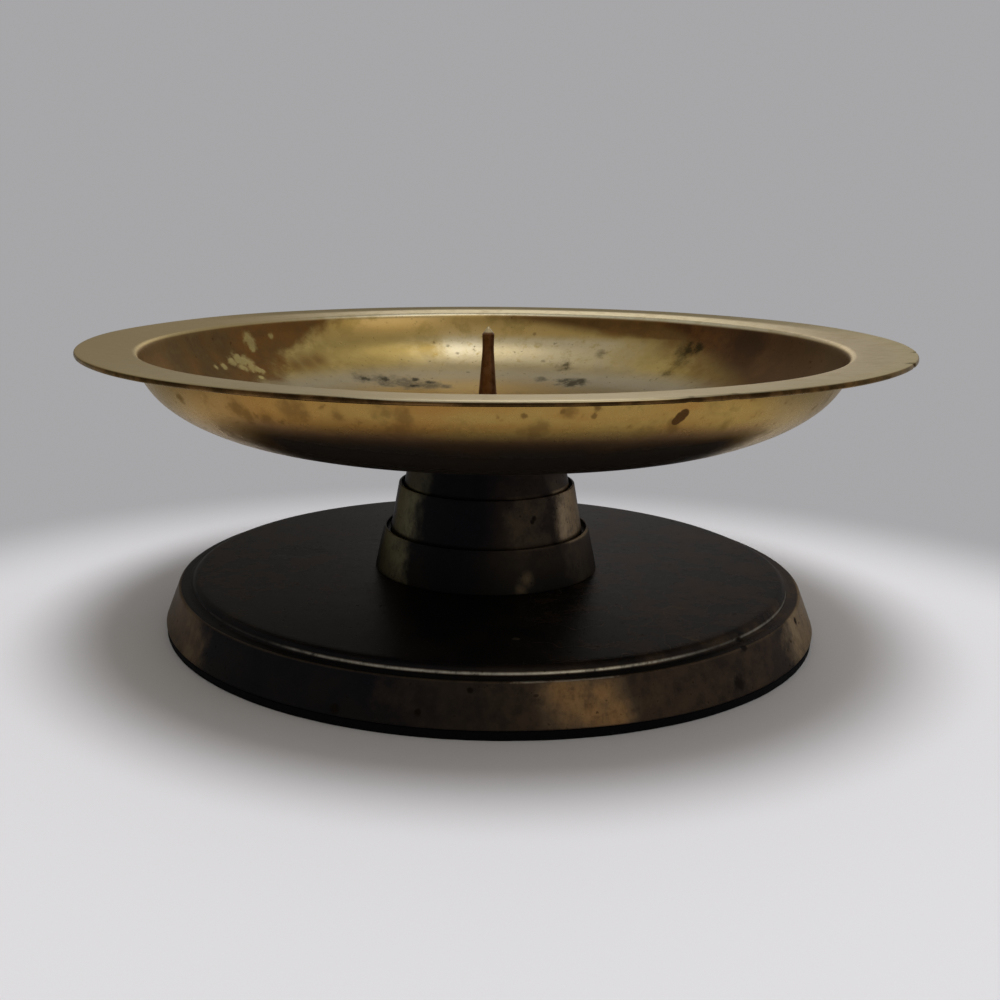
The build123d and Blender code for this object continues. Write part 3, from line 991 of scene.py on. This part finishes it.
def pricket_brass():
    """Red-brown brass, turned in rings, with paler brass at the tip, part wear and part painted highlight."""
    g = Graph("pricket_brass")
    fine = g.noise(FINE / 2, 3, 0.6)
    mottle = g.noise(MOTTLE, 4, 0.6)
    rings = g.add("VectorMath", {0: g.place, 1: RING_STRETCH}, operation="MULTIPLY")
    turning = g.noise(MOTTLE, place=rings)
    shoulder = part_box("pricket")[1].z - POINT_HEIGHT
    tip = g.ease(g.z, shoulder + FINE / 4, shoulder + FINE)
    colour = g.mix(g.ease(mottle, 0.3, 0.7), SPIKE_RED, SPIKE_BROWN)
    # Paler brass on the tip: wear, and a painted highlight
    colour = g.mix(g.product(tip, g.span(fine, 0.6, 1)), colour, TIP_BRASS)
    roughness = g.total(g.span(mottle, 0.28, 0.42), g.product(tip, -0.1))
    relief = g.total(g.product(turning, SCRATCH * 2), g.product(fine, SCRATCH / 2))
    return g.finish(colour, 0.95, roughness, relief)


# The pad
FELT_BLACK = (0.0006, 0.0006, 0.0012)
FELT_FIBRE = (0.004, 0.004, 0.006)
FELT_LINT = (0.02, 0.019, 0.018)
FELT_GLOSS = 0.1
FIBRE = 0.35 * MM


def black_felt():
    g = Graph("black_felt")
    fibres = g.noise(FIBRE, 5, 0.8)
    lint = g.ease(g.noise(FINE, 2, 0.5), 0.7, 0.76)
    colour = g.mix(fibres, FELT_BLACK, FELT_FIBRE)
    colour = g.mix(g.product(lint, 0.5), colour, FELT_LINT)
    g.feed(g.shader.inputs["Specular IOR Level"], FELT_GLOSS)
    return g.finish(colour, 0, g.span(fibres, 0.85, 1), g.product(fibres, FIBRE / 3))


# The pieces inside the foot
BOARD_DARK = (0.1, 0.05, 0.022)
BOARD_LIGHT = (0.26, 0.15, 0.075)
ZINC_GREY = (0.45, 0.45, 0.46)
ZINC_PALE = (0.62, 0.61, 0.58)
RUST = (0.2, 0.09, 0.04)


def hardboard():
    g = Graph("hardboard")
    fibres = g.noise(FINE, 5, 0.75)
    colour = g.mix(fibres, BOARD_DARK, BOARD_LIGHT)
    return g.finish(colour, 0, g.span(fibres, 0.6, 0.85), g.product(fibres, CRUST))


def zinc_steel():
    g = Graph("zinc_steel")
    spangle = g.noise(MOTTLE, 3, 0.5)
    rust = g.ease(g.noise(MOTTLE, 5, 0.7), 0.6, 0.75)
    colour = g.mix(spangle, ZINC_GREY, ZINC_PALE)
    colour = g.mix(g.product(rust, 0.8), colour, RUST)
    return g.finish(colour, g.span(rust, 1, 0.3), g.span(spangle, 0.3, 0.45), g.product(spangle, SCRATCH))


# Pieces

# A mesh is the longest stretch along its outline and the number of segments round the axis. A warp is
# the size of its waves, their length and its own offset in the noise. The collars are counted for theirs
DISH_MESH = (1.6 * MM, 480)
DISH_WARP = (0.15 * MM, 45 * MM, 3)
COLLAR_MESH = (1.2 * MM, 256)
COLLAR_WARP = (0.06 * MM, 18 * MM)
BASE_MESH = (1.4 * MM, 400)
BASE_WARP = (0.12 * MM, 40 * MM, 7)
PRICKET_MESH = (0.6 * MM, 64)
PAD_MESH = (1.5 * MM, 320)
PAD_WARP = (0.05 * MM, 6 * MM, 5)
WAX_HEIGHT = 0.35 * MM
NICK_DEPTH = 0.25 * MM
UNDERSIDE_TILT = 0.1  # the dish's faces whose normals rise less than this are its outside


def stand_for(piece, node):
    """Puts a piece in the place of its CAD node."""
    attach(piece, "root")
    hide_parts(node)


def make_dish():
    piece = lathe("dish_aged", dish_outline(), *DISH_MESH, [dish_inside(), dish_outside()])
    swell(piece, inside(WAX), WAX_HEIGHT)
    swell(piece, outside(RIM_NICKS), -NICK_DEPTH)
    warp(piece, *DISH_WARP)
    for face in piece.data.polygons:
        face.material_index = int(face.normal.z < UNDERSIDE_TILT)
    stand_for(piece, "dish")


def make_stem():
    bronze = stem_bronze()
    collars = (
        ("stem_lower_collar", LOWER_TOP_RADIUS, True),
        ("stem_middle_collar", MIDDLE_TOP_RADIUS, True),
        ("stem_top_collar", TOP_TOP_RADIUS, False),
    )
    for offset, (node, top_radius, lipped) in enumerate(collars):
        piece = lathe(node + "_aged", collar_outline(node, top_radius, lipped), *COLLAR_MESH, [bronze])
        warp(piece, *COLLAR_WARP, offset)
        stand_for(piece, node)


def make_base():
    piece = lathe("base_aged", base_outline(), *BASE_MESH, [base_bronze()])
    swell(piece, placed(base_outline(), BASE_CHIPS), -NICK_DEPTH)
    warp(piece, *BASE_WARP)
    stand_for(piece, "base")


def make_pricket():
    piece = lathe("pricket_aged", pricket_outline(), *PRICKET_MESH, [pricket_brass()])
    stand_for(piece, "pricket")


def make_pad():
    """The felt pad, which lies flat on the table however its edge is worn."""
    piece = lathe("pad_felt", pad_outline(), *PAD_MESH, [black_felt()])
    warp(piece, *PAD_WARP)
    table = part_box("felt_pad")[0].z
    for vertex in piece.data.vertices:
        vertex.co.z = max(vertex.co.z, table)
    stand_for(piece, "felt_pad")


def finish_hidden_pieces():
    steel = zinc_steel()
    finishes = {"backing_board": hardboard(), "tie_bolt": steel, "tie_washer": steel, "spring_washer": steel}
    for node, material in finishes.items():
        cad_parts[node].data.materials[0] = material


# Stage


def camera():
    data = bpy.data.cameras.new("camera")
    data.sensor_width = SENSOR_WIDTH
    data.lens = FOCAL_PIXELS / PHOTO_SIZE * SENSOR_WIDTH
    data.shift_x = 0.5 - CENTRE_X_PIXELS / PHOTO_SIZE
    data.shift_y = CENTRE_Y_PIXELS / PHOTO_SIZE - 0.5
    data.clip_start = CAMERA_NEAREST
    view = bpy.data.objects.new("camera", data)
    view.location = (0, -CAMERA_DISTANCE, CAMERA_HEIGHT)
    view.rotation_euler = (pi / 2 - CAMERA_PITCH, 0, CAMERA_YAW)
    bpy.context.scene.collection.objects.link(view)
    bpy.context.scene.camera = view


# Lamps: the place, the width in metres and the power in watts
OVERHEAD_LAMP = ((0.02, 0, 1), 0.38, 6.2)
SIDE_LAMP = ((0.9, -0.3, 0.6), 0.5, 0.7)


def softbox(name, location, size, power):
    """Lights what is dull. The metals take their light from the room, which they reflect."""
    data = bpy.data.lights.new(name, "AREA")
    data.shape = "DISK"
    data.size = size
    data.energy = power
    lamp = bpy.data.objects.new(name, data)
    lamp.location = location
    lamp.rotation_euler = (-Vector(location)).to_track_quat("-Z", "Y").to_euler()
    lamp.visible_glossy = False
    bpy.context.scene.collection.objects.link(lamp)


# The table, pale within a pool of light round the stand, and the backdrop's grey beyond
BACKDROP = (0.385, 0.38, 0.39)
TABLE = (0.72, 0.72, 0.76)
TABLE_ROUGHNESS = 0.7
FLOOR_RADIUS = 3.0
FLOOR_SEGMENTS = 96
POOL_CENTRE = (0, -0.06, 0)
POOL_RADIUS = 0.145
POOL_END = 0.215


def floor():
    g = Graph("floor")
    g.feed(g.shader.inputs["Base Color"], (*TABLE, 1))
    g.feed(g.shader.inputs["Roughness"], TABLE_ROUGHNESS)
    far = g.add("Emission", {"Color": (*BACKDROP, 1)})
    away = g.add("VectorMath", {0: g.place, 1: POOL_CENTRE}, "Value", operation="DISTANCE")
    surface = g.add("MixShader", {0: g.ease(away, POOL_RADIUS, POOL_END), 1: g.shader.outputs[0], 2: far})
    g.feed(g.tree.nodes["Material Output"].inputs["Surface"], surface)
    mesh = bpy.data.meshes.new("floor")
    turn = 2 * pi / FLOOR_SEGMENTS
    corners = [(FLOOR_RADIUS * cos(turn * k), FLOOR_RADIUS * sin(turn * k), 0) for k in range(FLOOR_SEGMENTS)]
    mesh.from_pydata(corners, [], [range(FLOOR_SEGMENTS)])
    mesh.materials.append(g.material)
    plate = bpy.data.objects.new("floor", mesh)
    bpy.context.scene.collection.objects.link(plate)


# The room's light on each side, and where one gives way to the other along X, Y and Z
LEFT_LIGHT = (0.25, 0.232, 0.195)
RIGHT_LIGHT = (0.46, 0.45, 0.44)
CAMERA_SIDE_LIGHT = (0.2, 0.182, 0.15)
CEILING_LIGHT = (0.4, 0.39, 0.37)
LEFT_TO_RIGHT = (-0.8, 0.5)
CAMERA_TO_FAR_SIDE = (-0.5, 0.3)
WALLS_TO_CEILING = (0.25, 0.8)

# Bright places in the room: the direction, how far round it the light is full and where it ends, in
# degrees, and the light
FAR_WALL = ((0.05, 0.965, 0.257), 0, 12, (1.15, 1.12, 1.08))
WINDOW = ((0.12, 0.03, 0.99), 3, 22, (1.4, 1.37, 1.31))
DOORWAY = ((0.604, -0.72, 0.342), 6, 26, (0.8, 0.72, 0.55))


def room():
    """The light all round, with a window overhead and a doorway on the right. The camera sees plain grey."""
    world = bpy.data.worlds.new("room")
    bpy.context.scene.world = world
    world.use_nodes = True
    g = Nodes(world.node_tree)
    direction = g.add("TexCoord", {}, "Generated")
    x, y, z = g.split(direction)
    light = g.mix(g.ease(x, *LEFT_TO_RIGHT), LEFT_LIGHT, RIGHT_LIGHT)
    light = g.mix(g.ease(y, *CAMERA_TO_FAR_SIDE), CAMERA_SIDE_LIGHT, light)
    light = g.mix(g.ease(z, *WALLS_TO_CEILING), light, CEILING_LIGHT)
    for towards, full, end, colour in (FAR_WALL, WINDOW, DOORWAY):
        cosine = g.add("VectorMath", {0: direction, 1: towards}, "Value", operation="DOT_PRODUCT")
        light = g.mix(g.ease(cosine, cos(radians(end)), cos(radians(full))), light, colour)
    seen = g.add("LightPath", {}, "Is Camera Ray")
    g.feed(g.tree.nodes["Background"].inputs["Color"], g.mix(seen, light, BACKDROP))


make_dish()
make_pricket()
make_stem()
make_base()
make_pad()
finish_hidden_pieces()
camera()
floor()
room()
softbox("overhead", *OVERHEAD_LAMP)
softbox("side", *SIDE_LAMP)
bpy.context.scene.view_settings.view_transform = "Standard"
